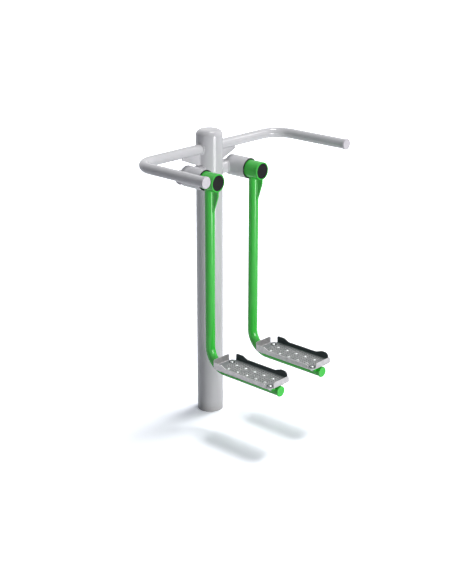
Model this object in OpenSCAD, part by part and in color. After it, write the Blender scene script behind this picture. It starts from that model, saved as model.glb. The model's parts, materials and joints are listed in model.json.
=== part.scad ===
// Outdoor jump trainer: one post carries a handlebar and two independent
// pendulums. The user stands on the footplates facing the post and swings both
// legs sideways. Millimetres, +Z up, origin on the post's axis at the ground,
// -Y towards the user. Lengths named "ahead" are measured from the post's axis
// towards the user.

/* [Post] */
// Outer diameter of the post
post_d = 114.3; // [100:0.1:130]
// Wall of the post and of its cap
post_wall = 3.6; // [2.5:0.1:6]
// Height from the ground to the top of the cap
post_height = 1280; // [1250:1:1400]
// Height of the cap above the end of the tube
cap_height = 34; // [30:1:45]
// Radius of the cap's rounded edge
cap_edge_r = 25; // [8:1:28]
// Bore of the sleeve in the post's foot, over a ground stub of 101.6
foot_bore_d = 102; // [98:0.2:104]
// Length of the sleeve in the post's foot
foot_sleeve_length = 200; // [100:10:400]

/* [Handlebar] */
// Depth of the handlebar's axis below the post's top
bar_depth = 77; // [65:1:90]
// Outer diameter of the handlebar
bar_d = 42.4; // [32:0.1:50]
// Wall of the handlebar
bar_wall = 2.6; // [2:0.1:4]
// Distance between the two side grips, centre to centre
bar_span = 860; // [780:1:960]
// Reach of the grips towards the user
bar_ahead = 397; // [300:1:480]
// Bend radius of the handlebar, on its axis
bar_bend_r = 95; // [70:1:130]
// Thickness of the gusset plates under the handlebar
bar_gusset_t = 6; // [4:0.5:10]
// Reach of the gusset plates from the post's axis
bar_gusset_reach = 160; // [120:1:200]
// Depth of the gusset plates at the post, below the handlebar's axis; they end on the crossbar
bar_gusset_drop = 73; // [50:1:80]
// Depth of the gusset plates at their tip, below the handlebar's axis
bar_gusset_tip_drop = 32; // [28:1:45]

/* [Crossbar and bearing housings] */
// Depth of the crossbar and of the two swing axes below the handlebar's axis
crossbar_depth = 99; // [80:1:115]
// Outer diameter of the crossbar
crossbar_d = 60.3; // [50:0.1:65]
// Wall of the crossbar
crossbar_wall = 3.6; // [2.5:0.1:5]
// Length of the crossbar past each swing axis, with its plug
crossbar_overhang = 45; // [45:1:80]
// Distance between the two swing axes
axis_span = 271; // [260:1:300]
// Outer diameter of a bearing housing
housing_d = 88.9; // [84:0.1:100]
// Wall of a bearing housing
housing_wall = 4; // [3:0.1:5]
// Front face of a bearing housing, ahead of the crossbar's axis
housing_ahead = 107.5; // [95:0.5:120]
// Thickness of the disc that carries the axle in the housing's mouth
carrier_t = 12; // [8:0.5:16]
// Diameter of the fixed axle
axle_d = 30; // [25:0.5:30]

/* [Hub] */
// Outer diameter of the hub
hub_d = 76.1; // [74:0.1:80]
// Outer diameter of a ball bearing
bearing_d = 62; // [58:0.5:64]
// Width of a ball bearing
bearing_w = 16; // [12:0.5:18]
// Length of the spacer between the two bearings
spacer_length = 22; // [14:0.5:30]
// Swing of a footplate away from the middle, in degrees
swing_out = 40; // [20:1:45]
// Swing of a footplate towards the middle, in degrees
swing_in = 3; // [1:0.5:4]

/* [Pendulum arm] */
// Outer diameter of the arm's tube
arm_d = 42.4; // [32:0.1:42.4]
// Wall of the arm's tube
arm_wall = 3.2; // [2.5:0.1:5]
// Axis of the arm's upright run, ahead of the crossbar's axis
arm_ahead = 131.5; // [131.5:0.5:140]
// Bend radius of the arm, on its axis
arm_bend_r = 92; // [80:1:115]
// Height of the axis of the arm's lower run
arm_low_z = 286; // [240:0.5:320]
// Thickness of the gusset plate between hub and arm
hub_gusset_t = 6; // [4:0.5:8]
// Length of the hub gusset below the swing axis
hub_gusset_drop = 128; // [100:1:160]

/* [Footplate] */
// Length of a footplate
plate_length = 339; // [320:1:380]
// Width of a footplate
plate_width = 142; // [130:1:150]
// Rear wall of a footplate, ahead of the post's axis
plate_ahead = 195; // [188:1:210]
// Thickness of the sheet
sheet_t = 3; // [2:0.1:4]
// Outer radius of the folds
fold_r = 6; // [5:0.5:8]
// Height of the long walls between their raised ends
side_wall_h = 21; // [14:0.5:24]
// Height of the raised ends of the long walls
ear_h = 32.5; // [28:0.5:40]
// Height of the rear wall
rear_wall_h = 31; // [24:0.5:36]
// Height of the front wall
front_wall_h = 28; // [20:0.5:36]
// Knobs along the footplate
knob_rows = 5; // [3:1:5]
// Pitch of the knobs
knob_pitch = 52.5; // [40:0.5:54]

/* [Hidden] */
$fn = 96;

left = -1;
right = 1;
frame_grey = "#b9babc";
pendulum_green = "#2f9a3a";
plate_grey = "#8b9092";
cap_black = "#2a292a";
plug_grey = "#d3cfd6";
steel = "#a9acb0";
rubber_black = "#1d1d1f";

// Overrun of every cut past the face that it opens
cut = 2;
// Gap between pieces that turn against each other
turning_gap = 0.3;

// Post, crossbar and handlebar
post_r = post_d / 2;
post_tube_top = post_height - cap_height;
bar_z = post_height - bar_depth;
axis_z = bar_z - crossbar_depth;
crossbar_length = axis_span + 2 * crossbar_overhang;
crossbar_r = crossbar_d / 2;
bar_r = bar_d / 2;
bar_reach = bar_span / 2;
bar_gusset_blunt = 9;

// Plugs: a head outside the tube, a ribbed shank inside
bar_plug_overhang = 2;
bar_plug_head = 9;
bar_plug_shank = 24;
crossbar_plug_head = 4;
crossbar_plug_shank = 20;
plug_rib = 1.2;
plug_rib_pitch = 6;
plug_edge_r = 2;

// Bearing housing: lengths ahead of the crossbar's axis
axis_x = axis_span / 2;
housing_r = housing_d / 2;
housing_bore_r = housing_r - housing_wall;
cover_t = 4;
cover_ahead = 2;
carrier_ahead = housing_ahead - carrier_t;
axle_r = axle_d / 2;
axle_collar_rise = 3.5;
axle_collar_r = axle_r + axle_collar_rise;
axle_collar = 5;
axle_chamfer = 1.2;

// Hub and what turns in it, stacked forwards from the housing's face
hub_r = hub_d / 2;
hub_gap = 1;
bearing_r = bearing_d / 2;
hub_rear = housing_ahead + hub_gap;
bearing_1 = housing_ahead + axle_collar;
spacer_at = bearing_1 + bearing_w;
bearing_2 = spacer_at + spacer_length;
stack_end = bearing_2 + bearing_w;
retaining_t = 2;
retaining_bite = 1.6;
retaining_radial = 4;
hub_land = 3;
hub_land_r = bearing_r - hub_land;
washer_t = 1.4;
nut_t = 7;
nut_wall = 7.5;
nut_r = axle_r + nut_wall;
axle_tip = 1;
axle_end = stack_end + washer_t + nut_t + axle_tip;
cap_gap = 1;
cap_flange_t = 3;
cap_seat = axle_end + cap_gap;
hub_front = cap_seat + cap_flange_t;
cap_flange_rim = 2;
cap_flange_r = bearing_r + cap_flange_rim;
hub_chamfer = 1;

// Ball bearing: ring edges and the shield between them
running_fit = 0.05;
inner_ring_wall = 4.5;
outer_ring_wall = 5;
bearing_inner_edge_r = axle_r + inner_ring_wall;
bearing_outer_edge_r = bearing_r - outer_ring_wall;
shield_recess = 0.8;

// Slotted nut and the tab of its washer
nut_slots = 4;
nut_slot_w = 5.2;
nut_slot_depth = 2.5;
tab_w = 5;
tab_length = 5;

// Stop lug behind the hub and the rubber buffers in the carrier's notch
lug_half_angle = 12;
lug_length = 10.5;
lug_step = 0.5;
lug_outer_r = hub_r - lug_step;
buffer_angle = 8;
stop_gap_angle = 0.5;
notch_step = 1.5;
notch_r = bearing_r - notch_step;
lug_at = 90;
notch_from = lug_at - swing_in - lug_half_angle - stop_gap_angle - buffer_angle;
notch_to = lug_at + swing_out + lug_half_angle + stop_gap_angle + buffer_angle;

// Dust ring over the gap between housing and hub
dust_ring_t = 2.5;
dust_ring_step = 1.3;
dust_ring_r = housing_r - dust_ring_step;
dust_ring_bore_r = hub_r + turning_gap;

// Arm
arm_r = arm_d / 2;
end_disc_t = 4;
end_disc_overhang = 1;
arm_end_setback = 2;
arm_end_ahead = plate_ahead + plate_length - arm_end_setback;
arm_bend_ahead = arm_ahead + arm_bend_r;
arm_bend_z = arm_low_z + arm_bend_r;
hub_gusset_edge_drop = 57;
hub_gusset_blunt = 3.5;

// Footplate
bracket_t = 6;
plate_z = arm_low_z + arm_r + bracket_t;
plate_end_ahead = plate_ahead + plate_length;
corner_r = 18;
corner = fold_r + corner_r;
front_setback = 3;
half_width = plate_width / 2;
end_wall_half = half_width - corner;
side_wall_length = plate_length - 2 * corner - front_setback;
rear_ear_flat = 40;
rear_ear_foot = 67;
front_ear_foot = 68;
front_ear_slope = 32;
ear_corner_r = 8;
front_ear_corner_r = 18;
front_corner_r = 10;
end_corner_r = 8;
knob_r = 5.5;
knob_h = 1.8;
knob_sphere_r = (knob_r * knob_r + knob_h * knob_h) / (2 * knob_h);
knob_column_x = 28;
plate_middle = plate_ahead + plate_length / 2;

// Opening in the footplate's rear edge that clears the arm's bend
arm_clearance = 1.5;
bend_inner_r = arm_bend_r - arm_r;
function bend_top(ahead) = arm_bend_z - sqrt(pow(bend_inner_r, 2) - pow(arm_bend_ahead - ahead, 2));
slot_rise = arm_bend_z - plate_z + arm_clearance;
slot_ahead = arm_bend_ahead - sqrt(max(0, pow(bend_inner_r, 2) - pow(slot_rise, 2)));
slot_top = bend_top(plate_ahead) + arm_clearance;
slot_half = arm_r + arm_clearance;

// Brackets, bolts and nuts under the footplate
bracket_w = 26;
bracket_half = 50;
bracket_web_t = 5;
bracket_web_rim = 4;
bracket_web_half = arm_r + bracket_web_rim;
bracket_web_drop = 16;
bolt_inset = 28;
bolt_rows = [plate_ahead + bolt_inset, plate_end_ahead - bolt_inset];
bolt_x = 38;
bolt_r = 4;
bolt_head_r = 9;
bolt_head_h = 4;
bolt_play = 0.5;
bolt_hole_r = bolt_r + bolt_play;
bolt_tip = 2;
nut_flats = 13;
nut_h = 6.5;
plate_washer_r = 8;
plate_washer_t = 1.6;
plate_washer_play = 1.5;
grip_t = sheet_t + bracket_t;
bracket_web_top_half = bolt_x - plate_washer_r - plate_washer_play;

// Shared shapes

// Draws the right-hand piece, or its mirror image on the left
module on_side(side) {
    if (side < 0)
        mirror([1, 0, 0]) children();
    else
        children();
}

// Local z runs forwards from the crossbar along the right swing axis, local y up
module on_axis() {
    translate([axis_x, 0, axis_z]) rotate([90, 0, 0]) children();
}

module section(r, wall) {
    difference() {
        circle(r);
        if (wall < r)
            circle(r - wall);
    }
}

// Tube along +X that bends towards -Y; wall = r gives the solid bar
module bent_tube(r, wall, reach, ahead, bend_r) {
    rotate([0, 90, 0]) linear_extrude(reach - bend_r) section(r, wall);
    translate([reach - bend_r, -bend_r, 0]) rotate_extrude(angle = 90) translate([bend_r, 0]) section(r, wall);
    translate([reach, -bend_r, 0]) rotate([90, 0, 0]) linear_extrude(ahead - bend_r) section(r, wall);
}

// Fan between two angles that reaches well past radius r
module sector(r, from, to) {
    far = 2 * r;
    step = (to - from) / 4;
    polygon(concat([[0, 0]], [for (i = [0 : 4]) far * [cos(from + i * step), sin(from + i * step)]]));
}

// Ring between two radii, cut to the sector between two angles
module ring_sector(r_in, r_out, from, to) {
    intersection() {
        section(r_out, r_out - r_in);
        sector(r_out, from, to);
    }
}

// Half profile of a disc with one rounded edge, for rotate_extrude
module round_edge_profile(r, h, edge_r) {
    square([r - edge_r, h]);
    square([r, h - edge_r]);
    translate([r - edge_r, h - edge_r]) intersection() {
        circle(edge_r);
        square(edge_r);
    }
}

// Tube plug along +Z: its head stands on the tube's end at z = 0
module tube_plug(head_r, head_h, bore_r, shank, wall) {
    rotate_extrude() round_edge_profile(head_r, head_h, plug_edge_r);
    difference() {
        union() {
            translate([0, 0, -shank]) cylinder(r = bore_r - plug_rib, h = shank);
            for (z = [plug_rib_pitch : plug_rib_pitch : shank])
                translate([0, 0, -z]) cylinder(r1 = bore_r - plug_rib, r2 = bore_r, h = plug_rib_pitch / 2);
        }
        translate([0, 0, -shank - cut]) cylinder(r = bore_r - plug_rib - wall, h = shank + cut);
    }
}

// Frame

module post() {
    color(frame_grey) difference() {
        linear_extrude(post_tube_top) section(post_r, post_wall);
        translate([-post_r - cut, 0, axis_z]) rotate([0, 90, 0]) cylinder(r = crossbar_r, h = post_d + 2 * cut);
    }
}

// Sleeve that fits the post over a stub set in the ground
module foot_sleeve() {
    bore_r = foot_bore_d / 2;
    color(steel) linear_extrude(foot_sleeve_length) section(post_r - post_wall, post_r - post_wall - bore_r);
}

module post_cap() {
    color(frame_grey) translate([0, 0, post_tube_top]) rotate_extrude() difference() {
        round_edge_profile(post_r, cap_height, cap_edge_r);
        round_edge_profile(post_r - post_wall, cap_height - post_wall, cap_edge_r - post_wall);
    }
}

module crossbar() {
    tube_length = crossbar_length - 2 * crossbar_plug_head;
    color(frame_grey) difference() {
        translate([-tube_length / 2, 0, axis_z]) rotate([0, 90, 0])
            linear_extrude(tube_length) section(crossbar_r, crossbar_wall);
        for (side = [left, right])
            on_side(side) on_axis() cylinder(r = axle_r, h = crossbar_r + cut);
    }
}

module crossbar_plug(side) {
    color(plug_grey) on_side(side)
        translate([crossbar_length / 2 - crossbar_plug_head, 0, axis_z]) rotate([0, 90, 0])
            tube_plug(crossbar_r, crossbar_plug_head, crossbar_r - crossbar_wall, crossbar_plug_shank, plug_edge_r);
}

module handlebar(side) {
    color(frame_grey) on_side(side) difference() {
        translate([0, 0, bar_z])
            bent_tube(bar_r, bar_wall, bar_reach, bar_ahead - bar_plug_head, bar_bend_r);
        cylinder(r = post_r, h = post_height);
    }
}

module handlebar_plug(side) {
    color(plug_grey) on_side(side)
        translate([bar_reach, bar_plug_head - bar_ahead, bar_z]) rotate([90, 0, 0])
            tube_plug(bar_r + bar_plug_overhang, bar_plug_head, bar_r - bar_wall, bar_plug_shank, plug_edge_r);
}

module handlebar_gusset(side) {
    tip_top = bar_gusset_tip_drop - bar_gusset_blunt;
    color(frame_grey) on_side(side) difference() {
        translate([0, bar_gusset_t / 2, bar_z]) rotate([90, 0, 0]) linear_extrude(bar_gusset_t)
            polygon([
                [0, -bar_gusset_drop],
                [post_r, -bar_gusset_drop],
                [bar_gusset_reach, -bar_gusset_tip_drop],
                [bar_gusset_reach, -tip_top],
                [bar_gusset_reach - bar_gusset_blunt, -bar_r / 2],
                [0, -bar_r / 2]
            ]);
        translate([0, 0, bar_z]) rotate([0, 90, 0]) cylinder(r = bar_r, h = bar_reach);
        cylinder(r = post_r, h = post_height);
        crossbar_solid();
    }
}

// Bearing housing and its fixed pieces

module housing(side) {
    color(frame_grey) on_side(side) difference() {
        on_axis() linear_extrude(housing_ahead) section(housing_r, housing_wall);
        crossbar_solid();
    }
}

module crossbar_solid() {
    translate([0, 0, axis_z]) rotate([0, 90, 0]) cylinder(r = crossbar_r, h = crossbar_length);
}

// Two plates that close the housing behind, above and below the crossbar
module housing_cover(side) {
    color(frame_grey) on_side(side) difference() {
        on_axis() translate([0, 0, cover_ahead]) cylinder(r = housing_bore_r, h = cover_t);
        crossbar_solid();
    }
}

// Disc in the housing's mouth; the hub's lug swings in its notch
module axle_carrier(side) {
    color(steel) on_side(side) on_axis() translate([0, 0, carrier_ahead]) linear_extrude(carrier_t)
        difference() {
            section(housing_bore_r, housing_bore_r - axle_r);
            ring_sector(notch_r, housing_r, notch_from, notch_to);
        }
}

// Axle through the crossbar's front wall and the carrier, with a collar for the bearing
module axle(side) {
    root = crossbar_r / 2;
    color(steel) on_side(side) on_axis() rotate_extrude() polygon([
        [0, root],
        [axle_r, root],
        [axle_r, housing_ahead],
        [axle_collar_r, housing_ahead],
        [axle_collar_r, bearing_1],
        [axle_r, bearing_1],
        [axle_r, axle_end - axle_chamfer],
        [axle_r - axle_chamfer, axle_end],
        [0, axle_end]
    ]);
}

module swing_buffers(side) {
    color(rubber_black) on_side(side) on_axis() translate([0, 0, carrier_ahead]) linear_extrude(carrier_t) {
        ring_sector(notch_r, housing_bore_r, notch_from, notch_from + buffer_angle);
        ring_sector(notch_r, housing_bore_r, notch_to - buffer_angle, notch_to);
    }
}

module dust_ring(side) {
    color(rubber_black) on_side(side) on_axis() translate([0, 0, housing_ahead])
        linear_extrude(dust_ring_t) section(dust_ring_r, dust_ring_r - dust_ring_bore_r);
}

module bearing_spacer(side) {
    color(steel) on_side(side) on_axis() translate([0, 0, spacer_at])
        linear_extrude(spacer_length) section(axle_collar_r, axle_collar_r - axle_r);
}

// Washer with one tab bent into a slot of the nut
module tab_washer(side) {
    tab_r = nut_r - nut_slot_depth;
    color(steel) on_side(side) on_axis() translate([0, 0, stack_end]) {
        linear_extrude(washer_t) {
            section(axle_collar_r, axle_collar_r - axle_r);
            translate([axle_collar_r - washer_t, -tab_w / 2])
                square([tab_r + washer_t + turning_gap - axle_collar_r + washer_t, tab_w]);
        }
        translate([tab_r + turning_gap, -tab_w / 2, 0]) cube([washer_t, tab_w, washer_t + tab_length]);
    }
}

module axle_nut(side) {
    color(steel) on_side(side) on_axis() translate([0, 0, stack_end + washer_t]) difference() {
        linear_extrude(nut_t) section(nut_r, nut_r - axle_r);
        for (i = [0 : nut_slots - 1])
            rotate([0, 0, i * 360 / nut_slots])
                translate([nut_r - nut_slot_depth, -nut_slot_w / 2, -cut]) cube([nut_r, nut_slot_w, nut_t + 2 * cut]);
    }
}

// Hub and its inner pieces

module hub(side) {
    groove_end = stack_end + retaining_t;
    groove_r = bearing_r + retaining_bite;
    color(pendulum_green) on_side(side) on_axis() {
        rotate_extrude() polygon([
            [bearing_r, hub_rear],
            [hub_r, hub_rear],
            [hub_r, hub_front - hub_chamfer],
            [hub_r - hub_chamfer, hub_front],
            [cap_flange_r, hub_front],
            [cap_flange_r, cap_seat],
            [bearing_r, cap_seat],
            [bearing_r, groove_end],
            [groove_r, groove_end],
            [groove_r, stack_end],
            [bearing_r, stack_end],
            [bearing_r, bearing_2],
            [hub_land_r, bearing_2],
            [hub_land_r, spacer_at],
            [bearing_r, spacer_at]
        ]);
        translate([0, 0, hub_rear - lug_length]) linear_extrude(lug_length + hub_gap)
            ring_sector(bearing_r, lug_outer_r, lug_at - lug_half_angle, lug_at + lug_half_angle);
    }
}

// Sealed ball bearing: the inner ring's faces stand back from the outer ring's
module ball_bearing(side, at) {
    half = [
        [axle_r + running_fit, turning_gap],
        [bearing_inner_edge_r, turning_gap],
        [bearing_inner_edge_r, shield_recess],
        [bearing_outer_edge_r, shield_recess],
        [bearing_outer_edge_r, 0],
        [bearing_r, 0]
    ];
    count = len(half);
    other_half = [for (i = [count - 1 : -1 : 0]) [half[i][0], bearing_w - half[i][1]]];
    color(steel) on_side(side) on_axis() translate([0, 0, at]) rotate_extrude() polygon(concat(half, other_half));
}

// Open ring in the hub's groove, with two ears for the pliers
module retaining_ring(side) {
    opening = 14;
    ear_r = 3;
    ear_hole_r = 1.25;
    r_out = bearing_r + retaining_bite;
    r_mid = r_out - retaining_radial;
    ear_at = opening + asin(ear_r / r_mid) / 2;
    color(steel) on_side(side) on_axis() translate([0, 0, stack_end]) linear_extrude(retaining_t) difference() {
        union() {
            difference() {
                section(r_out, retaining_radial);
                sector(r_out, lug_at - opening, lug_at + opening);
            }
            for (a = [-ear_at, ear_at])
                rotate(lug_at + a) translate([r_mid, 0]) circle(ear_r);
        }
        for (a = [-ear_at, ear_at])
            rotate(lug_at + a) translate([r_mid, 0]) circle(ear_hole_r);
    }
}

module hub_cap(side) {
    skirt_t = 2;
    skirt = cap_seat - stack_end - retaining_t - cap_gap;
    color(cap_black) on_side(side) on_axis() {
        translate([0, 0, cap_seat]) rotate_extrude()
            round_edge_profile(cap_flange_r, cap_flange_t, cap_flange_t / 2);
        translate([0, 0, cap_seat - skirt]) linear_extrude(skirt) section(bearing_r, skirt_t);
    }
}

// Arm

module arm_place() {
    translate([axis_x, -arm_ahead, axis_z]) rotate([0, 90, 0]) children();
}

module arm_solid() {
    arm_place() bent_tube(arm_r, arm_r, axis_z - arm_low_z, arm_end_ahead - arm_ahead, arm_bend_r);
}

module hub_solid() {
    on_axis() cylinder(r = hub_r, h = hub_front);
}

module arm(side) {
    run = arm_end_ahead - end_disc_t - arm_ahead;
    color(pendulum_green) on_side(side) difference() {
        arm_place() bent_tube(arm_r, arm_wall, axis_z - arm_low_z, run, arm_bend_r);
        hub_solid();
    }
}

module hub_gusset(side) {
    color(pendulum_green) on_side(side) difference() {
        translate([axis_x + hub_gusset_t / 2, 0, axis_z]) rotate([90, 0, -90]) linear_extrude(hub_gusset_t)
            polygon([
                [arm_ahead, -hub_r / 2],
                [hub_front, -hub_r / 2],
                [hub_front, -hub_gusset_edge_drop],
                [arm_ahead + arm_r + hub_gusset_blunt, -hub_gusset_drop],
                [arm_ahead, -hub_gusset_drop]
            ]);
        hub_solid();
        translate([axis_x, -arm_ahead, 0]) cylinder(r = arm_r, h = axis_z);
    }
}

module arm_end_disc(side) {
    color(pendulum_green) on_side(side)
        translate([axis_x, end_disc_t - arm_end_ahead, arm_low_z]) rotate([90, 0, 0])
            rotate_extrude() round_edge_profile(arm_r + end_disc_overhang, end_disc_t, end_disc_t / 4);
}

// Footplate and its fastening. The footplates are alike, not mirrored.

module plate_brackets(side) {
    color(pendulum_green) on_side(side) difference() {
        for (ahead = bolt_rows)
            translate([axis_x, -ahead, plate_z - bracket_t]) plate_bracket();
        arm_solid();
        for (ahead = bolt_rows, x = [-bolt_x, bolt_x])
            translate([axis_x + x, -ahead, plate_z - bracket_t - cut]) cylinder(r = bolt_hole_r, h = bracket_t + 2 * cut);
    }
}

// Flat bar over a web that straddles the arm, between the bolts
module plate_bracket() {
    translate([-bracket_half, -bracket_w / 2, 0]) cube([2 * bracket_half, bracket_w, bracket_t]);
    translate([0, bracket_web_t / 2, 0]) rotate([90, 0, 0]) linear_extrude(bracket_web_t)
        polygon([
            [-bracket_web_top_half, 0],
            [-bracket_web_half, -bracket_web_drop],
            [bracket_web_half, -bracket_web_drop],
            [bracket_web_top_half, 0]
        ]);
}

// Fold and wall in section: x outwards from the start of the fold, y up
module fold_section(height) {
    translate([0, fold_r]) intersection() {
        section(fold_r, sheet_t);
        translate([0, -fold_r]) square(fold_r);
    }
    translate([fold_r - sheet_t, fold_r]) square([sheet_t, height - fold_r]);
}

// Straight folded wall along +Y from y = 0, rising at +X
module folded_wall(height, length) {
    translate([0, length, 0]) rotate([90, 0, 0]) linear_extrude(length) fold_section(height);
}

// Outline of a long wall: x from its rear end, y up; raised at the rear, and at the front if asked
module side_wall_outline(front_ear) {
    run = side_wall_length;
    ear_slope = rear_ear_foot - rear_ear_flat;
    square([rear_ear_foot, side_wall_h]);
    square([rear_ear_flat, ear_h - ear_corner_r]);
    translate([ear_corner_r, 0]) square([rear_ear_flat - ear_corner_r, ear_h]);
    translate([ear_corner_r, ear_h - ear_corner_r]) circle(ear_corner_r);
    polygon([[rear_ear_flat, side_wall_h], [rear_ear_flat, ear_h], [rear_ear_flat + ear_slope, side_wall_h]]);
    if (front_ear) {
        flat_from = run - front_ear_foot + front_ear_slope;
        square([run - front_ear_corner_r, side_wall_h]);
        polygon([
            [run - front_ear_foot, side_wall_h],
            [flat_from, ear_h],
            [run - front_ear_corner_r, ear_h],
            [run - front_ear_corner_r, side_wall_h]
        ]);
        translate([run - front_ear_corner_r, 0]) square([front_ear_corner_r, ear_h - front_ear_corner_r]);
        translate([run - front_ear_corner_r, ear_h - front_ear_corner_r]) circle(front_ear_corner_r);
    } else {
        square([run - front_corner_r, side_wall_h]);
        square([run, side_wall_h - front_corner_r]);
        translate([run - front_corner_r, side_wall_h - front_corner_r]) circle(front_corner_r);
    }
}

// Long wall at +X of the footplate, rear end at y = 0, running to -Y
module side_wall(front_ear) {
    intersection() {
        translate([half_width - fold_r, -side_wall_length, 0]) folded_wall(ear_h, side_wall_length);
        translate([half_width, 0, 0]) rotate([90, 0, -90]) linear_extrude(fold_r + cut) side_wall_outline(front_ear);
    }
}

// End wall across the footplate, centred on x = 0, rising at +Y
module end_wall(height) {
    intersection() {
        translate([end_wall_half, -fold_r, 0]) rotate([0, 0, 90]) folded_wall(height, 2 * end_wall_half);
        translate([0, cut, 0]) rotate([90, 0, 0]) linear_extrude(fold_r + 2 * cut) {
            translate([-end_wall_half, 0]) square([2 * end_wall_half, height - end_corner_r]);
            translate([end_corner_r - end_wall_half, 0]) square([2 * (end_wall_half - end_corner_r), height]);
            for (x = [end_corner_r - end_wall_half, end_wall_half - end_corner_r])
                translate([x, height - end_corner_r]) circle(end_corner_r);
        }
    }
}

// Flat part of the sheet inside the folds
module plate_floor() {
    flat_x = half_width - fold_r;
    flat_y = plate_length / 2 - fold_r;
    linear_extrude(sheet_t) {
        square([2 * flat_x, 2 * (flat_y - corner_r)], center = true);
        square([2 * (flat_x - corner_r), 2 * flat_y], center = true);
        for (x = [-1, 1], y = [-1, 1])
            translate([x * (flat_x - corner_r), y * (flat_y - corner_r)]) circle(corner_r);
    }
}

module knob() {
    intersection() {
        translate([0, 0, knob_h - knob_sphere_r]) sphere(knob_sphere_r);
        cylinder(r = knob_r + knob_h, h = knob_h);
    }
}

module footplate(side) {
    color(plate_grey) difference() {
        translate([side * axis_x, -plate_middle, plate_z]) {
            plate_floor();
            translate([0, plate_length / 2 - corner, 0]) side_wall(true);
            translate([0, plate_length / 2 - corner, 0]) mirror([1, 0, 0]) side_wall(false);
            translate([0, plate_length / 2, 0]) end_wall(rear_wall_h);
            translate([0, -plate_length / 2, 0]) mirror([0, 1, 0]) end_wall(front_wall_h);
            for (x = [-knob_column_x, knob_column_x], i = [0 : knob_rows - 1])
                translate([x, (i - (knob_rows - 1) / 2) * knob_pitch, sheet_t]) knob();
        }
        translate([side * axis_x - slot_half, -slot_ahead, plate_z - cut])
            cube([2 * slot_half, slot_ahead, slot_top + cut - plate_z]);
        for (ahead = bolt_rows, x = [-bolt_x, bolt_x])
            translate([side * axis_x + x, -ahead, plate_z - cut]) cylinder(r = bolt_hole_r, h = sheet_t + 2 * cut);
    }
}

// Repeats a fastener at the four bolt holes, on the footplate's upper face
module at_bolts(side) {
    for (ahead = bolt_rows, x = [-bolt_x, bolt_x])
        translate([side * axis_x + x, -ahead, plate_z + sheet_t]) children();
}

module plate_bolts(side) {
    shank = grip_t + plate_washer_t + nut_h + bolt_tip;
    head_sphere_r = (bolt_head_r * bolt_head_r + bolt_head_h * bolt_head_h) / (2 * bolt_head_h);
    color(steel) at_bolts(side) {
        intersection() {
            translate([0, 0, bolt_head_h - head_sphere_r]) sphere(head_sphere_r);
            cylinder(r = bolt_head_r + cut, h = bolt_head_h);
        }
        translate([0, 0, -shank]) cylinder(r = bolt_r, h = shank);
    }
}

module plate_washers(side) {
    color(steel) at_bolts(side) translate([0, 0, -grip_t - plate_washer_t])
        linear_extrude(plate_washer_t) section(plate_washer_r, plate_washer_r - bolt_r);
}

module plate_nuts(side) {
    color(steel) at_bolts(side) translate([0, 0, -grip_t - plate_washer_t - nut_h]) linear_extrude(nut_h)
        difference() {
            circle(r = nut_flats / sqrt(3), $fn = 6);
            circle(bolt_r);
        }
}

post();
foot_sleeve();
post_cap();
crossbar();
crossbar_plug(left);  // crossbar_plug_left
crossbar_plug(right);  // crossbar_plug_right
handlebar(left);  // handlebar_left
handlebar(right);  // handlebar_right
handlebar_plug(left);  // handlebar_plug_left
handlebar_plug(right);  // handlebar_plug_right
handlebar_gusset(left);  // handlebar_gusset_left
handlebar_gusset(right);  // handlebar_gusset_right
housing(left);  // housing_left
housing(right);  // housing_right
housing_cover(left);  // housing_cover_left
housing_cover(right);  // housing_cover_right
axle_carrier(left);  // axle_carrier_left
axle_carrier(right);  // axle_carrier_right
axle(left);  // axle_left
axle(right);  // axle_right
swing_buffers(left);  // swing_buffers_left
swing_buffers(right);  // swing_buffers_right
dust_ring(left);  // dust_ring_left
dust_ring(right);  // dust_ring_right
bearing_spacer(left);  // bearing_spacer_left
bearing_spacer(right);  // bearing_spacer_right
tab_washer(left);  // tab_washer_left
tab_washer(right);  // tab_washer_right
axle_nut(left);  // axle_nut_left
axle_nut(right);  // axle_nut_right
hub(left);  // hub_left
hub(right);  // hub_right
ball_bearing(left, bearing_1);  // rear_bearing_left
ball_bearing(right, bearing_1);  // rear_bearing_right
ball_bearing(left, bearing_2);  // front_bearing_left
ball_bearing(right, bearing_2);  // front_bearing_right
retaining_ring(left);  // retaining_ring_left
retaining_ring(right);  // retaining_ring_right
hub_cap(left);  // hub_cap_left
hub_cap(right);  // hub_cap_right
arm(left);  // arm_left
arm(right);  // arm_right
hub_gusset(left);  // hub_gusset_left
hub_gusset(right);  // hub_gusset_right
arm_end_disc(left);  // arm_end_disc_left
arm_end_disc(right);  // arm_end_disc_right
plate_brackets(left);  // plate_brackets_left
plate_brackets(right);  // plate_brackets_right
footplate(left);  // footplate_left
footplate(right);  // footplate_right
plate_bolts(left);  // plate_bolts_left
plate_bolts(right);  // plate_bolts_right
plate_washers(left);  // plate_washers_left
plate_washers(right);  // plate_washers_right
plate_nuts(left);  // plate_nuts_left
plate_nuts(right);  // plate_nuts_right
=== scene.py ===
"""Outdoor jump trainer: finishes, welds, tread and fasteners over the solids, and the studio.

Metres, +Z up, origin on the post's axis at the ground, -Y towards the user. The part's sizes are
named here in millimetres and turned to metres by MM. "Ahead" is the distance from the post's axis
towards the user.
"""

import json

import bpy
import numpy as np
from mathutils import Matrix


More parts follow.
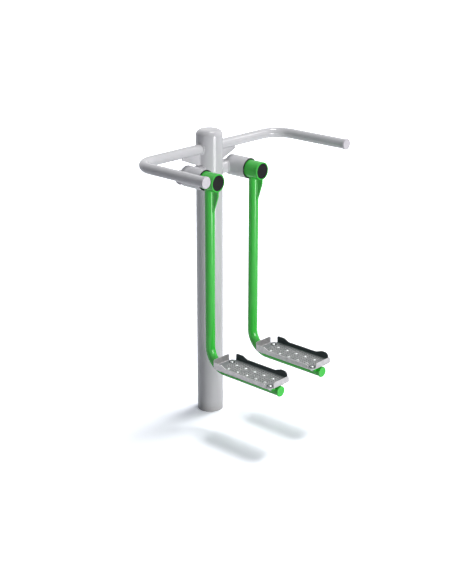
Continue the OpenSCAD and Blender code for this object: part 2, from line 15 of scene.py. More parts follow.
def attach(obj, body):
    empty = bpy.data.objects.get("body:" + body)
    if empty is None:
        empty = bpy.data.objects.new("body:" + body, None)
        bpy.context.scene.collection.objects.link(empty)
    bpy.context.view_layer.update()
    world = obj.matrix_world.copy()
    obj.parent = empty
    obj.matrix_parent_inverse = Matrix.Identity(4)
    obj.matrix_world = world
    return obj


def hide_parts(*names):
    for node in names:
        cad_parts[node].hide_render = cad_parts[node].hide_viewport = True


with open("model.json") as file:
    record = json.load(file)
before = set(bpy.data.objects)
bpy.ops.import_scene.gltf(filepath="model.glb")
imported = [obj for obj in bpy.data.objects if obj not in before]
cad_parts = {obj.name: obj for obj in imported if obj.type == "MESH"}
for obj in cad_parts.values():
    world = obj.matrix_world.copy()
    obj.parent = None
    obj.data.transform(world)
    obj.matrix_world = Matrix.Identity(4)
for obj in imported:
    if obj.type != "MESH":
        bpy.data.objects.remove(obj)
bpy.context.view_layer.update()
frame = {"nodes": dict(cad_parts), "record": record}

MM = 0.001
SIDES = {"left": -1, "right": 1}

# Tubes and their axes, as in the solids
POST_R = 57.15
BAR_R, BAR_Z = 21.2, 1203.0
CROSSBAR_R, AXIS_Z, AXIS_X = 30.15, 1104.0, 135.5
HOUSING_R, HUB_R, HUB_FRONT = 44.45, 38.05, 179.9
ARM_R, ARM_AHEAD, ARM_LOW_Z, ARM_END = 21.2, 131.5, 286.0, 532.0

# Plates, as in the solids
BAR_GUSSET_T, BAR_GUSSET_TOP_END = 6.0, 151.0
HUB_GUSSET_T, END_DISC_T, BRACKET_T = 6.0, 4.0, 5.0
PLATE_MIDDLE, PLATE_TOP = 364.5, 316.2
BOLT_X, BOLT_ROWS = 38.0, (223.0, 506.0)
BOLT_PLACES = [(row, x) for row in BOLT_ROWS for x in (-BOLT_X, BOLT_X)]

# ---------------------------------------------------------------- materials

# The ranges of a noise over which colours and roughness change
TONES, GRAIN = (0.35, 0.65), (0.3, 0.7)

# Powder coat: how chalky its upward faces are, and the soil above the ground, in metres
COAT_ROUGHNESS, CHALK = (0.08, 0.13), 0.35
SOIL, SOIL_HEIGHTS, SOIL_SHARE = "#8b857a", (0.002, 0.05), 0.5

# Tread sheet: its colours, with the painted shade of the long walls' inner faces, how rough it is,
# and how much rougher where it is worn
SHEET, SHEET_BLOOM, WORN_FLOOR, SHADED_WALL = "#c9c6c6", "#b6b4b4", "#757a7c", "#414a4b"
SHEET_ROUGHNESS, WORN_ROUGHER = (0.33, 0.43), 0.25


def linear(hex_colour):
    """Linear RGBA of an sRGB hex colour."""
    srgb = np.array([int(hex_colour[i : i + 2], 16) for i in (1, 3, 5)]) / 255
    rgb = np.where(srgb <= 0.04045, srgb / 12.92, ((srgb + 0.055) / 1.055) ** 2.4)
    return (*rgb.tolist(), 1.0)


def add(tree, kind, values=None, links=None, **settings):
    """Adds a node: settings are its own properties, values its fixed inputs, and links the
    (node, output) pairs that feed it."""
    made = tree.nodes.new(kind)
    for name, value in settings.items():
        setattr(made, name, value)
    for socket, value in (values or {}).items():
        made.inputs[socket].default_value = value
    for socket, (source, output) in (links or {}).items():
        tree.links.new(source.outputs[output], made.inputs[socket])
    return made


def start(name, **values):
    """A new material with its Principled shader, linked to the output, and its coordinates."""
    material = bpy.data.materials.new(name)
    material.use_nodes = True
    tree = material.node_tree
    tree.nodes.clear()
    inputs = {key.replace("_", " "): value for key, value in values.items()}
    shader = add(tree, "ShaderNodeBsdfPrincipled", inputs)
    add(tree, "ShaderNodeOutputMaterial", links={"Surface": (shader, "BSDF")})
    return material, tree, shader, add(tree, "ShaderNodeTexCoord")


def feed(tree, source, shader, socket):
    """Links a (node, output) pair to one of the shader's inputs."""
    tree.links.new(source[0].outputs[source[1]], shader.inputs[socket])


def noise(tree, place, size_mm, detail=2.0, rough=0.5):
    """The value of a noise whose blobs are about size_mm wide."""
    values = {"Scale": 1 / (size_mm * MM), "Detail": detail, "Roughness": rough}
    return (add(tree, "ShaderNodeTexNoise", values, {"Vector": place}), "Fac")


def calc(tree, operation, one, other):
    """An operation on two values: the first a (node, output) pair, the second another or a
    number."""
    if isinstance(other, tuple):
        return (add(tree, "ShaderNodeMath", links={0: one, 1: other}, operation=operation), 0)
    return (add(tree, "ShaderNodeMath", {1: other}, {0: one}, operation=operation), 0)


def spread(tree, source, given, wanted):
    """Maps a value from one (low, high) range to another, held at both ends."""
    values = {"From Min": given[0], "From Max": given[1], "To Min": wanted[0], "To Max": wanted[1]}
    return (add(tree, "ShaderNodeMapRange", values, {"Value": source}), 0)


def mix(tree, share, one, other):
    """Mixes two colours, each an sRGB hex colour or a (node, output) pair, by such a pair."""
    made = add(tree, "ShaderNodeMix", links={0: share}, data_type="RGBA")
    for socket, colour in ((6, one), (7, other)):
        if isinstance(colour, str):
            made.inputs[socket].default_value = linear(colour)
        else:
            tree.links.new(colour[0].outputs[colour[1]], made.inputs[socket])
    return (made, 2)


def mottled(tree, cloud, one, other):
    """A colour that drifts to another with a noise."""
    return mix(tree, spread(tree, cloud, TONES, (0.0, 1.0)), one, other)


def relief(tree, shader, height, depth_mm):
    """Feeds the shader's normal from a height, 0 to 1, of that depth."""
    values = {"Distance": depth_mm * MM, "Strength": 1.0}
    bump = add(tree, "ShaderNodeBump", values, {"Height": height})
    feed(tree, (bump, "Normal"), shader, "Normal")


def powder_coat(name, paint, worn, shade):
    """Polyester powder coat baked on steel tube: a smooth gloss coat with the skin's faint orange
    peel, slightly chalked upwards by weather and soiled just above the ground."""
    material, tree, shader, place = start(name, IOR=1.5)
    here = (place, "Object")
    colour = mottled(tree, noise(tree, here, size_mm=260, detail=3), paint, shade)
    facing = add(tree, "ShaderNodeNewGeometry")
    faced = add(tree, "ShaderNodeSeparateXYZ", links={0: (facing, "Normal")})
    film = noise(tree, here, size_mm=45, detail=4, rough=0.6)
    chalk = spread(tree, (faced, "Z"), (0.5, 1.0), (0.0, CHALK))
    colour = mix(tree, calc(tree, "MULTIPLY", chalk, film), colour, worn)
    where = add(tree, "ShaderNodeSeparateXYZ", links={0: here})
    splash = noise(tree, here, size_mm=9, detail=5, rough=0.65)
    soil = spread(tree, (where, "Z"), SOIL_HEIGHTS, (SOIL_SHARE, 0.0))
    colour = mix(tree, calc(tree, "MULTIPLY", soil, splash), colour, SOIL)
    feed(tree, colour, shader, "Base Color")
    feed(tree, spread(tree, film, GRAIN, COAT_ROUGHNESS), shader, "Roughness")
    # The peel of a baked coat is 2 to 3 mm wide; 4 mm still shows in the render
    relief(tree, shader, noise(tree, here, size_mm=4, detail=1), depth_mm=0.008)
    return material


def moulded(name, plastic, shade, roughness, sheen=0.5):
    """Injection-moulded plastic or rubber: one matt colour through, with the mould's fine grain."""
    material, tree, shader, place = start(name, IOR=1.49, Specular_IOR_Level=sheen)
    here = (place, "Object")
    cloud = noise(tree, here, size_mm=14, detail=3)
    feed(tree, mottled(tree, cloud, plastic, shade), shader, "Base Color")
    grain = noise(tree, here, size_mm=1.2, detail=2)
    matt = spread(tree, grain, GRAIN, (roughness - 0.05, roughness + 0.07))
    feed(tree, matt, shader, "Roughness")
    relief(tree, shader, grain, depth_mm=0.03)
    return material


def bright_steel(name, metal, shade, roughness, streak_mm):
    """Machined or zinc-plated steel: metallic, with fine tool marks or spangle of streak_mm."""
    material, tree, shader, place = start(name, Metallic=1.0)
    marks = noise(tree, (place, "Object"), streak_mm, detail=4, rough=0.6)
    feed(tree, mottled(tree, marks, metal, shade), shader, "Base Color")
    matt = spread(tree, marks, GRAIN, (roughness - 0.06, roughness + 0.08))
    feed(tree, matt, shader, "Roughness")
    relief(tree, shader, marks, depth_mm=0.015)
    return material


def tread_sheet(name, side):
    """Folded galvanised steel sheet: grey metal with zinc bloom. Shoes darken the floor, and the
    inner faces of the two long walls are painted dark as shade."""
    material, tree, shader, place = start(name, Metallic=0.85)
    here = (place, "Object")
    bloom = noise(tree, here, size_mm=16, detail=5, rough=0.6)
    colour = mottled(tree, bloom, SHEET, SHEET_BLOOM)
    where = add(tree, "ShaderNodeSeparateXYZ", links={0: here})
    facing = add(tree, "ShaderNodeNewGeometry")
    faced = add(tree, "ShaderNodeSeparateXYZ", links={0: (facing, "Normal")})
    # Painted shade on the inner faces of the long walls, where the distance from the plate's middle
    # times the normal's X is well below zero
    across = calc(tree, "SUBTRACT", (where, "X"), side * AXIS_X * MM)
    inward = calc(tree, "MULTIPLY", across, (faced, "X"))
    wall_shade = spread(tree, inward, (-0.040, -0.025), (1.0, 0.0))
    # Wear, on faces that look up and lie within a few millimetres of the floor
    level = spread(tree, (faced, "Z"), (0.7, 0.95), (0.0, 1.0))
    low = spread(tree, (where, "Z"), ((PLATE_TOP + 2.5) * MM, (PLATE_TOP + 5) * MM), (1.0, 0.0))
    scuff = noise(tree, here, size_mm=28, detail=4, rough=0.6)
    scuff = spread(tree, scuff, (0.35, 0.7), (0.75, 1.0))
    worn = calc(tree, "MULTIPLY", calc(tree, "MULTIPLY", level, low), scuff)
    colour = mix(tree, wall_shade, mix(tree, worn, colour, WORN_FLOOR), SHADED_WALL)
    feed(tree, colour, shader, "Base Color")
    links = {0: worn, 2: spread(tree, bloom, GRAIN, SHEET_ROUGHNESS)}
    matt = (add(tree, "ShaderNodeMath", {1: WORN_ROUGHER}, links, operation="MULTIPLY_ADD"), 0)
    feed(tree, matt, shader, "Roughness")
    relief(tree, shader, noise(tree, here, size_mm=5, detail=3), depth_mm=0.03)
    return material


FINISHES = {
    "frame_paint": powder_coat("powder_coated_steel_grey", "#d3d2d5", "#dcdcdc", "#cdccd0"),
    "pendulum_paint": powder_coat("powder_coated_steel_green", "#35ca3b", "#60d062", "#31c237"),
    "pale_plastic": moulded("moulded_polyamide_pale_grey", "#d6d2d8", "#cdc9cf", 0.42),
    "black_plastic": moulded("moulded_polyethylene_black", "#0b0a0b", "#111011", 0.5, 0.18),
    "black_rubber": moulded("moulded_epdm_rubber_black", "#191a1b", "#232425", 0.62),
    "steel": bright_steel("turned_steel", "#b6b6b4", "#9c9c9b", 0.34, 3),
    "rubbed_zinc": bright_steel("galvanised_steel_rubbed_bright", "#cfd1d1", "#b9bcbd", 0.46, 6),
    "zinc": bright_steel("zinc_plated_steel", "#c9cbcc", "#b1b4b6", 0.3, 4),
}
TREADS = {
    name: tread_sheet(f"galvanised_tread_sheet_{name}", side) for name, side in SIDES.items()
}
# Painted shade: a dark colour on discs over the solid sheet, where the holes' openings are
HOLE_SHADE = moulded("shaded_hole_in_sheet", "#1b2021", "#121616", 0.8, 0.3)

# ---------------------------------------------------------------- meshes


def grid_faces(rows, columns, wrap_rows=False, wrap_columns=False):
    """Quads of a rows x columns grid of points, closed round either way if asked."""
    last_row = rows if wrap_rows else rows - 1
    last_column = columns if wrap_columns else columns - 1
    i, j = np.meshgrid(np.arange(last_row), np.arange(last_column), indexing="ij")
    i2, j2 = (i + 1) % rows, (j + 1) % columns
    corners = (i * columns + j, i2 * columns + j, i2 * columns + j2, i * columns + j2)
    return np.stack(corners, -1).reshape(-1, 4)


def make_piece(name, points, faces, material, body, slot, smooth=True):
    """Puts points, in millimetres, and faces into a mesh whose object sits at the origin and rides
    on a body."""
    mesh = bpy.data.meshes.new(name)
    mesh.from_pydata((points * MM).tolist(), [], faces)
    mesh.validate()
    mesh.polygons.foreach_set("use_smooth", np.full(len(mesh.polygons), smooth))
    mesh.materials.append(material)
    made = bpy.data.objects.new(name, mesh)
    bpy.context.scene.collection.objects.link(made)
    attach(made, body)
    return made


def unit(vectors):
    """Each vector divided by its length."""
    return vectors / np.linalg.norm(vectors, axis=-1, keepdims=True)


def join(parts):
    """Several (points, faces) in one, with the face numbers shifted."""
    points, faces, count = [], [], 0
    for p, f in parts:
        points.append(p)
        faces += [[v + count for v in face] for face in f]
        count += len(p)
    return np.concatenate(points), faces


def laid(vectors, x_to, y_to, z_to):
    """Vectors with their own x, y and z laid along three other directions."""
    return vectors @ np.array([x_to, y_to, z_to], float)


def mirrored(part, side):
    """The right-hand part, or its mirror image on the left with its faces turned back outwards."""
    points, faces = part
    if side > 0:
        return points, faces
    return points * [-1, 1, 1], [face[::-1] for face in faces]


# ---------------------------------------------------------------- welds

# Legs of the beads. Behind the arm its bead is ground down to ARM_LEG_GROUND, from a share of the
# arm's radius behind its axis and over the next share
POST_LEG, HOUSING_LEG, ARM_LEG, GUSSET_LEG, END_LEG, BRACKET_LEG = 4.5, 4.0, 4.0, 3.2, 1.8, 2.8
ARM_LEG_GROUND, GROUND_FROM, GROUND_OVER = 0.2, 0.3, 0.5

# Shape of the beads: the pitch of the pools of weld metal, how far a pool's front lags in the
# middle, the share of the leg between pools and what a pool adds, and how deep the root is sunk
POOL_PITCH, POOL_LAG, LEG_LEAST, LEG_SWELL, ROOT_DEPTH = 3.2, 0.35, 0.93, 0.12, 0.3

# Where beads end: up and down the crossbar's side, down the post, before the hub's front and below
# the swing axis; and the two arcs in degrees on which a bracket's web is welded to the arm
HOUSING_SEAM_REACH, BAR_GUSSET_BEAD_FOOT = 29.6, 1136.0
HUB_GUSSET_BEAD_SETBACK, HUB_GUSSET_BEAD_DROP = 2, 127
BRACKET_ARCS = ((12, 62), (168, 118))

# Points round a bead's section, and along each kind of seam
SECTION_STEPS, STRAIGHT_STEPS, SADDLE_STEPS, HOUSING_STEPS = 7, 60, 121, 61
END_STEPS, BRACKET_STEPS = 97, 21


def bead(path, along_one, along_other, leg, closed=False):
    """Fillet weld along a seam. Each section runs from the seam point p out along one surface, over
    a quarter round, p + leg * (a cos t + b sin t), and back along the other. The leg swells by an
    eighth with each pool of weld metal, whose front lags in the middle of the bead.
    Returns points and quads that face outwards."""
    path, a, b = (np.asarray(v, float) for v in (path, along_one, along_other))
    step = np.linalg.norm(np.diff(path, axis=0), axis=1)
    length = np.concatenate([[0], np.cumsum(step)])[:, None]
    t = np.linspace(0, np.pi / 2, SECTION_STEPS)[None, :]
    pools = 0.5 + 0.5 * np.cos(2 * np.pi * (length / POOL_PITCH - POOL_LAG * np.sin(2 * t)))
    reach = leg * (LEG_LEAST + LEG_SWELL * pools)
    arc = path[:, None] + reach[..., None] * (
        a[:, None] * np.cos(t)[..., None] + b[:, None] * np.sin(t)[..., None]
    )
    points = np.concatenate([path[:, None] - ROOT_DEPTH * (a + b)[:, None], arc], axis=1)
    rows, columns = points.shape[:2]
    faces = grid_faces(rows, columns, closed, True)
    turns = np.einsum("ij,ij->i", np.cross(a, b), np.gradient(path, axis=0)).mean()
    if turns > 0:
        faces = faces[:, ::-1]
    faces = faces.tolist()
    if not closed:
        first = list(range(columns))
        last = list(range((rows - 1) * columns, rows * columns))
        faces += [first, last[::-1]] if turns <= 0 else [first[::-1], last]
    return points.reshape(-1, 3), faces


def same(way, count):
    """One direction for every point of a seam."""
    return np.tile(way, (count, 1))


def straight(one, other, a, b):
    """Gusset bead along the straight seam from one point to another, legs along a and b."""
    path = np.linspace(one, other, STRAIGHT_STEPS)
    a, b = (same(unit(np.array(way, float)), STRAIGHT_STEPS) for way in (a, b))
    return bead(path, a, b, GUSSET_LEG)


def across_skin(out, skin):
    """Directions out of a tube's wall, laid into a surface whose unit normals are skin."""
    return unit(out - (out * skin).sum(-1, keepdims=True) * skin)


def saddle(r, big_r):
    """Seam of a tube of radius r that meets a larger round one of radius big_r square on. The small
    tube's axis is x, the large one's z: y = r cos u, z = r sin u, x = sqrt(R^2 - y^2). Returns the
    seam and the two ways out of it: along the small tube, +x, and across the large one's skin."""
    u = np.linspace(0, 2 * np.pi, SADDLE_STEPS)
    y, z = r * np.cos(u), r * np.sin(u)
    x = np.sqrt(big_r**2 - y**2)
    along = same([1.0, 0.0, 0.0], SADDLE_STEPS)
    skin = np.stack([x, y, 0 * z], -1) / big_r
    out = np.stack([0 * u, np.cos(u), np.sin(u)], -1)
    return np.stack([x, y, z], -1), along, across_skin(out, skin)


def round_arm(t, ahead):
    """Points round the arm's lower run at the angles t from +X, and the ways out of its skin there:
    (cos t, 0, sin t)."""
    x, z = AXIS_X + ARM_R * np.cos(t), ARM_LOW_Z + ARM_R * np.sin(t)
    return np.stack([x, 0 * t - ahead, z], -1), np.stack([np.cos(t), 0 * t, np.sin(t)], -1)


def frame_welds():
    """Beads of the right half of the frame: bar and crossbar on the post, housing on the crossbar,
    gusset plate under the bar."""
    parts = []
    for r, z in ((BAR_R, BAR_Z), (CROSSBAR_R, AXIS_Z)):
        seam, along, across = saddle(r, POST_R)
        parts.append(bead(seam + z * np.array([0, 0, 1.0]), along, across, POST_LEG, closed=True))
    # Housing: its axis is -Y, and the crossbar's skin is y = -sqrt(Rc^2 - h^2) at the height h
    for way in (-1, 1):
        h = np.linspace(-HOUSING_SEAM_REACH, HOUSING_SEAM_REACH, HOUSING_STEPS)
        x = way * np.sqrt(HOUSING_R**2 - h**2)
        skin = np.stack([0 * h, -np.sqrt(CROSSBAR_R**2 - h**2), h], -1)
        seam = skin + np.stack([x + AXIS_X, 0 * h, 0 * h + AXIS_Z], -1)
        across = across_skin(unit(np.stack([x, 0 * h, h], -1)), unit(skin))
        parts.append(bead(seam, same([0, -1.0, 0], HOUSING_STEPS), across, HOUSING_LEG))
    # Gusset plate: along the bar to the end of its top edge, and down the post
    for y in (-BAR_GUSSET_T / 2, BAR_GUSSET_T / 2):
        bar_line = BAR_Z - np.sqrt(BAR_R**2 - y**2)
        post_line = np.sqrt(POST_R**2 - y**2)
        corner, side = [post_line, y, bar_line], [0, np.sign(y), 0]
        parts.append(straight(corner, [BAR_GUSSET_TOP_END, y, bar_line], [0, 0, -1], side))
        parts.append(straight(corner, [post_line, y, BAR_GUSSET_BEAD_FOOT], [1, 0, 0], side))
    return join(parts)


def pendulum_welds():
    """Beads of the right pendulum: arm under the hub, gusset plate between them, end disc, bracket
    webs."""
    parts = []
    # Arm: the small tube's x points down, y to the right and z back. At the back the bead is ground
    # down, because the dust ring turns 0.3 mm behind the arm
    seam, along, across = saddle(ARM_R, HUB_R)
    lay = ([0, 0, -1], [1, 0, 0], [0, 1, 0])
    ground = np.clip((seam[:, 2:] / ARM_R - GROUND_FROM) / GROUND_OVER, 0, 1)
    leg = ARM_LEG - (ARM_LEG - ARM_LEG_GROUND) * ground
    seam = laid(seam, *lay) + np.array([AXIS_X, -ARM_AHEAD, AXIS_Z])
    parts.append(bead(seam, laid(along, *lay), laid(across, *lay), leg, closed=True))
    for way in (-HUB_GUSSET_T / 2, HUB_GUSSET_T / 2):
        x, side = AXIS_X + way, [np.sign(way), 0, 0]
        under = AXIS_Z - np.sqrt(HUB_R**2 - way**2)
        front = -ARM_AHEAD - np.sqrt(ARM_R**2 - way**2)
        corner, hub_end = [x, front, under], -HUB_FRONT + HUB_GUSSET_BEAD_SETBACK
        parts.append(straight(corner, [x, hub_end, under], [0, 0, -1], side))
        parts.append(straight(corner, [x, front, AXIS_Z - HUB_GUSSET_BEAD_DROP], [0, -1, 0], side))
    ring, out = round_arm(np.linspace(0, 2 * np.pi, END_STEPS), ARM_END - END_DISC_T)
    parts.append(bead(ring, same([0, 1.0, 0], END_STEPS), out, END_LEG, closed=True))
    for row in BOLT_ROWS:
        for way in (-BRACKET_T / 2, BRACKET_T / 2):
            for ends in BRACKET_ARCS:
                arc, out = round_arm(np.radians(np.linspace(*ends, BRACKET_STEPS)), row - way)
                along = same([0, np.sign(way), 0], BRACKET_STEPS)
                parts.append(bead(arc, along, out, BRACKET_LEG))
    return join(parts)


# ---------------------------------------------------------------- tread

# Holes: their pitch, how many lie on each side of the middle, the collars round them and the discs
# of painted shade in them
HOLE_PITCH, HOLES_X, HOLES_Y, HOLE_STEPS = 12.8, 4, 12, 14
COLLAR_BORE_R, COLLAR_W, COLLAR_H, COLLAR_SUNK = 3.3, 1.7, 0.9, 0.05
HOLE_R, HOLE_ABOVE = 3.7, 0.12

# Knobs: their column, every which row has one, how far out, and their shape, with the shares of the
# radius that its circles have
KNOB_COLUMN, KNOB_EVERY, KNOB_OUT_TO = 2, 4, 8
KNOB_R, KNOB_H, KNOB_SUNK, KNOB_STEPS = 7.5, 2.6, 0.02, 20
KNOB_SHARES = [1.0, 0.86, 0.7, 0.54, 0.38, 0.22, 0.06]

# Bolt seals, whose black is painted shade round the bolt heads: the line that is turned
SHADE_SEAL_RADII = [12.6, 13.2, 13.0, 12.2, 9.6, 9.2, 9.1]
SHADE_SEAL_HEIGHTS = [0.02, 0.4, 0.8, 1.1, 1.1, 0.9, 0.02]
SHADE_SEAL_STEPS = 40

# What holes keep clear of: the bolts, across and along the plate, and the notch for the arm
BOLT_CLEAR_X, BOLT_CLEAR_Y = 18, 17
NOTCH_HALF, NOTCH_FROM = 30, 140


def tread_places(side):
    """Centres of the pressed holes, one per HOLE_PITCH both ways over the floor, and of the ten
    round knobs, which take the place of every fourth hole in two of the columns. Left out at the
    bolts and at the notch for the arm."""
    x, y = np.meshgrid(np.arange(-HOLES_X, HOLES_X + 1), np.arange(-HOLES_Y, HOLES_Y + 1))
    x, y = x.ravel(), y.ravel()
    knob = (np.abs(x) == KNOB_COLUMN) & (y % KNOB_EVERY == 0) & (np.abs(y) <= KNOB_OUT_TO)
    spots = np.stack([x, y], -1) * HOLE_PITCH
    far_x, far_y = np.abs(spots).T
    bolt_y = (BOLT_ROWS[1] - BOLT_ROWS[0]) / 2
    bolt = (np.abs(far_x - BOLT_X) < BOLT_CLEAR_X) & (np.abs(far_y - bolt_y) < BOLT_CLEAR_Y)
    notch = (far_x < NOTCH_HALF) & (spots[:, 1] > NOTCH_FROM)
    spots += [side * AXIS_X, -PLATE_MIDDLE]
    return spots[~(knob | bolt | notch)], spots[knob]


def repeated(points, faces, centres):
    """One small shape on the floor plate at each of the centres."""
    places = np.concatenate([centres, np.full((len(centres), 1), PLATE_TOP)], 1)
    shifts = len(points) * np.arange(len(centres))
    many = [[v + shift for v in face] for shift in shifts.tolist() for face in faces]
    return (places[:, None] + points[None]).reshape(-1, 3), many


def rings(radii, heights, count):
    """Points of level circles, from the outside inwards, with these radii at these heights, and the
    faces between them, which face up and out."""
    turn = np.linspace(0, 2 * np.pi, count, endpoint=False)
    r, z = np.asarray(radii)[:, None], np.asarray(heights)[:, None]
    points = np.stack([r * np.cos(turn), r * np.sin(turn), z + 0 * turn], -1).reshape(-1, 3)
    return points, grid_faces(len(radii), count, wrap_columns=True)[:, ::-1].tolist()


def pressed_collars(side):
    """Collars pressed up round the tread's holes. The section of each is a blunt half wave: height
    COLLAR_H sin(pi s)^0.8 over s, from 0 at the bore's radius to 1 at the outer one."""
    s = np.linspace(1, 0, 5)
    heights = COLLAR_H * np.sin(np.pi * s) ** 0.8 - COLLAR_SUNK
    points, faces = rings(COLLAR_BORE_R + COLLAR_W * s, heights, HOLE_STEPS)
    return repeated(points, faces, tread_places(side)[0])


def hole_discs(side):
    """The dark of the openings inside the collars, as painted shade: flat 14-sided discs, just
    above the sheet.
    """
    points, _ = rings([HOLE_R], [HOLE_ABOVE], HOLE_STEPS)
    return repeated(points, [list(range(HOLE_STEPS))], tread_places(side)[0])


def pressed_knobs(side):
    """Round knobs pressed up from the floor: height KNOB_H cos^2(pi s / 2) over s, from 0 in the
    middle to 1 at the rim, closed by a small flat top."""
    s = np.array(KNOB_SHARES)
    points, faces = rings(KNOB_R * s, KNOB_H * np.cos(np.pi * s / 2) ** 2 - KNOB_SUNK, KNOB_STEPS)
    top = list(range(len(points) - KNOB_STEPS, len(points)))
    return repeated(points, faces + [top], tread_places(side)[1])


def shade_seal_rings(side):
    """Sealing rings round the bolt heads, dark as painted shade round the heads: a line with
    rounded corners turned about the bolt's axis."""
    points, faces = rings(SHADE_SEAL_RADII, SHADE_SEAL_HEIGHTS, SHADE_SEAL_STEPS)
    return repeated(points, faces, np.array([[side * AXIS_X + x, -row] for row, x in BOLT_PLACES]))


# ---------------------------------------------------------------- fasteners

# Button-head bolt: the socket's half width across flats, its line as (share of that, height), the
# dome's sphere and the heights on it, the head's rim and the shank as (radius, height), and the
# turn from one bolt to the next in radians
SOCKET_FLAT = 2.5
SOCKET_LINE = ((0.5, 1.4), (0.96, 1.4), (1.0, 1.5), (1.0, 3.6), (1.08, 3.85))
DOME_R, DOME_CENTRE_DEPTH = 12.125, 8.125
DOME_HEIGHTS = (3.7, 3.4, 2.8, 2.0, 1.1, 0.4)
SHANK_LINE = ((9.0, 0.15), (8.9, 0.0), (4.0, 0.0), (4.0, -18.6), (3.3, -19.1))
BOLT_STEPS = 48
BOLT_TURN = 0.4


def button_bolt():
    """Button-head bolt, head upwards from z = 0: one line turned about z, from the socket's floor
    outwards over the dome and down the shank. Its inner part follows the hexagon of the socket,
    r(a) = flat / cos(a mod 60 - 30), and its dome the sphere r^2 = R^2 - (z + depth)^2. Both ends
    are closed."""
    a = np.linspace(0, 2 * np.pi, BOLT_STEPS, endpoint=False)
    hexagon = SOCKET_FLAT / np.cos((a % (np.pi / 3)) - np.pi / 6)
    circle = np.ones_like(a)
    line = [(share * hexagon, z) for share, z in SOCKET_LINE]
    line += [(np.sqrt(DOME_R**2 - (z + DOME_CENTRE_DEPTH) ** 2) * circle, z) for z in DOME_HEIGHTS]
    line += [(r * circle, z) for r, z in SHANK_LINE]
    points = [np.stack([r * np.cos(a), r * np.sin(a), np.full_like(a, z)], -1) for r, z in line]
    faces = grid_faces(len(line), BOLT_STEPS, wrap_columns=True).tolist()
    ends = np.arange(BOLT_STEPS), np.arange(BOLT_STEPS)[::-1] + BOLT_STEPS * (len(line) - 1)
    return np.concatenate(points), faces + [end.tolist() for end in ends]


def plate_bolts(side):
    """The four bolts of one footplate, each turned a little differently."""
    shape, faces = button_bolt()
    parts = []
    for n, (row, x) in enumerate(BOLT_PLACES):
        c, s = np.cos(BOLT_TURN * n + side), np.sin(BOLT_TURN * n + side)
        spun = shape @ np.array([[c, s, 0], [-s, c, 0], [0, 0, 1]])
        parts.append((spun + [side * AXIS_X + x, -row, PLATE_TOP], faces))
    return join(parts)


# ---------------------------------------------------------------- finish every solid, add pieces

slot_of = {entry["node"]: entry["material_slot"] for entry in frame["record"]["subparts"]}
for node_name, node in frame["nodes"].items():
    slot = slot_of[node_name]
    finish = TREADS[node_name.split("_")[-1]] if slot == "tread_steel" else FINISHES[slot]
    node.data.materials.clear()
    node.data.materials.append(finish)

for name, side in SIDES.items():
    swings = f"pendulum_{name}"
    grey, green = FINISHES["frame_paint"], FINISHES["pendulum_paint"]
    zinc, bright, rubber = (FINISHES[kind] for kind in ("zinc", "rubbed_zinc", "black_rubber"))
    welds = mirrored(frame_welds(), side)
    make_piece(f"frame_welds_{name}", *welds, grey, "frame", "frame_paint")
    welds = mirrored(pendulum_welds(), side)
    make_piece(f"pendulum_welds_{name}", *welds, green, swings, "pendulum_paint")
    collars, knobs, shade_seals = pressed_collars(side), pressed_knobs(side), shade_seal_rings(side)
    make_piece(f"tread_collars_{name}", *collars, TREADS[name], swings, "tread_steel")
    make_piece(f"tread_knobs_{name}", *knobs, bright, swings, "tread_steel")
    make_piece(f"bolt_shade_seals_{name}", *shade_seals, rubber, swings, "black_rubber")
    holes, bolts = hole_discs(side), plate_bolts(side)
    make_piece(f"tread_holes_{name}", *holes, HOLE_SHADE, swings, "tread_steel", smooth=False)
    bolts = make_piece(f"button_bolts_{name}", *bolts, zinc, swings, "zinc", smooth=False)
    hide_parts(f"plate_bolts_{name}")

# ---------------------------------------------------------------- floor, light, camera

# Floor, in metres: how bright the camera sees it, how bright it is to the light that it throws on
# the object, its cool cast, and where it runs into the white backdrop and how strongly
FLOOR_HALF = 60.0
FLOOR_SEEN, FLOOR_BOUNCE, FLOOR_CAST = 1.42, 0.4, (0.985, 1.0, 1.045)
BACKDROP_RANGE, BACKDROP_GLOW = (0.9, 3.2), 0.6

# Fill light of the sky: its direction, its strength all round and from there, and its colour
FILL_FROM = (0.355, 0.913, 0.203)
FILL_STRENGTH, FILL_COLOUR = (0.05, 0.85), "#e2e6ee"

# The photograph's camera, fitted to the tubes: degrees, metres, and millimetres for the lens
TURN, TILT, DISTANCE = 46.99, 20.02, 5.3966
AIM_RIGHT, AIM_HEIGHT = 0.0706, 0.5533
LENS_MM, SENSOR_MM, SIGHT_END = 75.84, 36.0, 200.0


def floor():
    """A pale floor. Its bounce on the object is that of a light grey floor. Glossy and transmission
    rays see it white, and the camera brighter still, so that it keeps only the core of a soft
    shadow."""
    mesh = bpy.data.meshes.new("floor")
    corners = np.array([(-1, -1, 0), (1, -1, 0), (1, 1, 0), (-1, 1, 0)]) * FLOOR_HALF
    mesh.from_pydata(corners.tolist(), [], [(0, 1, 2, 3)])
    made = bpy.data.objects.new("floor", mesh)
    bpy.context.scene.collection.objects.link(made)
    values = {"Roughness": 1.0, "Specular_IOR_Level": 0.0}
    material, tree, shader, place = start("pale_studio_floor", **values)
    seen = add(tree, "ShaderNodeLightPath")
    level = calc(tree, "MULTIPLY", (seen, "Is Camera Ray"), FLOOR_SEEN)
    for ray in ("Is Glossy Ray", "Is Transmission Ray"):
        level = calc(tree, "MAXIMUM", level, (seen, ray))
    level = calc(tree, "MAXIMUM", level, FLOOR_BOUNCE)
    cast = add(tree, "ShaderNodeVectorMath", {0: FLOOR_CAST}, {"Scale": level}, operation="SCALE")
    feed(tree, (cast, 0), shader, "Base Color")
    # Away from the object, where the softboxes no longer reach, the floor runs into the backdrop
    away = add(tree, "ShaderNodeVectorMath", links={0: (place, "Object")}, operation="LENGTH")
    glow = spread(tree, (away, "Value"), BACKDROP_RANGE, (0.0, BACKDROP_GLOW))
    glow = calc(tree, "MULTIPLY", glow, (seen, "Is Camera Ray"))
    feed(tree, glow, shader, "Emission Strength")
    mesh.materials.append(material)


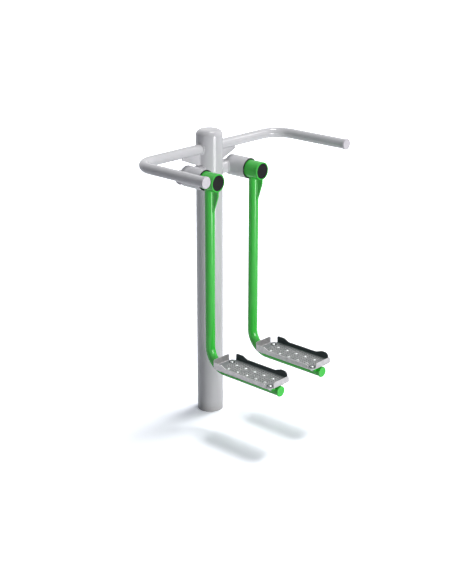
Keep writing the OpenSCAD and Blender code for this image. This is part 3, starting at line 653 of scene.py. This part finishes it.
def place_at(made, right, back, place):
    """Puts a lamp or camera at a place, with its back to a direction and its right to another."""
    bpy.context.scene.collection.objects.link(made)
    axes = Matrix(np.column_stack([right, np.cross(back, right), back]).tolist()).to_4x4()
    axes.translation = place
    made.matrix_world = axes


def hang(lamp, towards, place=(0, 0, 0)):
    """Hangs a lamp with its back to a direction, so that it shines the opposite way."""
    made = bpy.data.objects.new(lamp.name, lamp)
    back = unit(np.array(towards, float))
    place_at(made, unit(np.cross([0.0, 0.0, 1.0], back)), back, place)
    made.visible_camera = False
    return made


def sun(name, towards, share, angle):
    """A soft sun from a direction, angle degrees wide, which alone would light a white floor to
    that share of white."""
    lamp = bpy.data.lights.new(name, "SUN")
    lamp.angle = np.radians(angle)
    lamp.energy = share * np.pi / unit(np.array(towards, float))[2]
    hang(lamp, towards)


def softbox(name, place, towards, size, watts, lights="all"):
    """A rectangular soft light of that width and height. It lights "all", or only "matt" surfaces
    or "gloss"."""
    lamp = bpy.data.lights.new(name, "AREA")
    lamp.shape = "RECTANGLE"
    lamp.size, lamp.size_y = size
    lamp.energy = watts
    made = hang(lamp, towards, place)
    made.visible_glossy = lights != "matt"
    made.visible_diffuse = lights != "gloss"


def studio():
    """The sky: white where the camera, gloss and glass see it. To all else it is a low, cool fill,
    which is stronger from behind, where none of the lamps reach."""
    world = bpy.data.worlds.new("studio")
    bpy.context.scene.world = world
    world.use_nodes = True
    tree = world.node_tree
    tree.nodes.clear()
    seen = add(tree, "ShaderNodeLightPath")
    level = (seen, "Is Camera Ray")
    for ray in ("Is Glossy Ray", "Is Transmission Ray"):
        level = calc(tree, "MAXIMUM", level, (seen, ray))
    colour = mix(tree, level, FILL_COLOUR, "#ffffff")
    way = {0: (add(tree, "ShaderNodeTexCoord"), "Generated")}
    behind = add(tree, "ShaderNodeVectorMath", {1: FILL_FROM}, way, operation="DOT_PRODUCT")
    fill = spread(tree, (behind, "Value"), (0.0, 1.0), FILL_STRENGTH)
    level = calc(tree, "MAXIMUM", level, fill)
    background = add(tree, "ShaderNodeBackground", links={"Color": colour, "Strength": level})
    add(tree, "ShaderNodeOutputWorld", links={"Surface": (background, 0)})


def camera():
    """The photograph's view: round to the user's left and a little from above."""
    turn, tilt = np.radians(TURN), np.radians(TILT)
    back = np.array([-np.sin(turn) * np.cos(tilt), -np.cos(turn) * np.cos(tilt), np.sin(tilt)])
    right = np.array([np.cos(turn), -np.sin(turn), 0.0])
    aim = AIM_RIGHT * right + np.array([0, 0, AIM_HEIGHT])
    lens = bpy.data.cameras.new("camera")
    lens.lens, lens.sensor_width, lens.clip_end = LENS_MM, SENSOR_MM, SIGHT_END
    made = bpy.data.objects.new("camera", lens)
    place_at(made, right, back, (aim + DISTANCE * back).tolist())
    bpy.context.scene.camera = made


floor()
studio()
# The ways in which the softboxes hang
FRONT, RIGHT, ABOVE = (0.0, -1.0, 0.0), (1.0, -0.25, 0.3), (0.735, -0.33, 0.592)
sun("key_from_above", (0.25, -0.05, 1.0), share=0.48, angle=15)
sun("key_from_the_right", (0.45, -0.02, 1.0), share=0.10, angle=9)
softbox("softbox_in_front", (-0.3, -4.2, 1.6), FRONT, (2.5, 3.2), 70.0, "matt")
softbox("low_softbox_in_front", (0.0, -3.0, 0.55), FRONT, (1.3, 1.1), 31.0)
softbox("softbox_at_the_right", (2.6, -0.7, 1.6), RIGHT, (1.8, 2.4), 12.0, "matt")
softbox("window_in_front", (-0.1, -4.5, 0.85), FRONT, (0.5, 0.5), 30.0, "gloss")
softbox("window_above", (2.9, -1.3, 3.6), ABOVE, (0.6, 0.6), 10.0, "gloss")
camera()
bpy.context.scene.view_settings.view_transform = "Standard"
